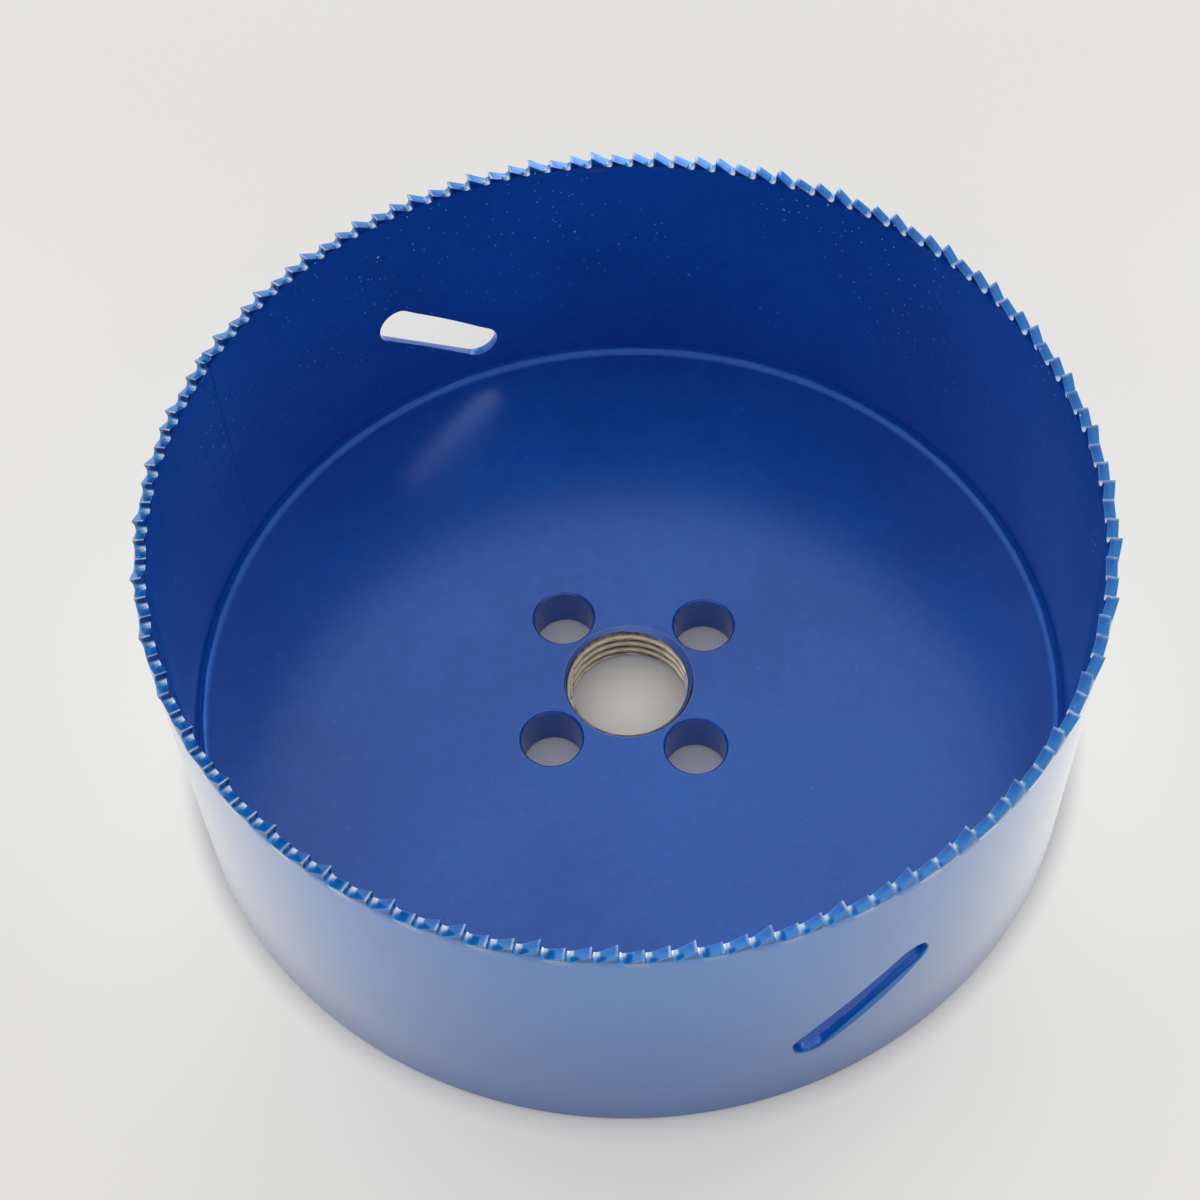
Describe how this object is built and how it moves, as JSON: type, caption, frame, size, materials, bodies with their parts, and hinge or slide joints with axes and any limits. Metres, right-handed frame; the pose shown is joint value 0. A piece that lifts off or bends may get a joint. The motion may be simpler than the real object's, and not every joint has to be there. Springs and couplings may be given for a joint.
{
  "type": "hole saw",
  "caption": "Cup-shaped hole saw: a thin toothed steel ring with slanted wall slots, welded to a thick back plate with a tapped centre hole and drive-pin holes.",
  "frame": {"origin": "centre of the back face, which is the lowest face of the saw as it stands with its teeth up", "axes": "+Z along the saw's axis, from the back plate towards the tooth tips; +X and +Y lie in the back face"},
  "size_m": [0.108, 0.1079, 0.0424],
  "materials": {
    "ring_enamel": "thin glossy blue enamel over steel, worn pale along the tooth edges",
    "plate_enamel": "thin glossy blue enamel over steel",
    "weld_enamel": "glossy blue enamel over weld metal",
    "bare_thread": "bare machined steel, dull brown-grey"
  },
  "bodies": {
    "root": {"saw_shell": "ring_enamel", "back_plate": "plate_enamel", "inner_weld": "weld_enamel", "back_weld": "weld_enamel"}
  },
  "joints": []
}
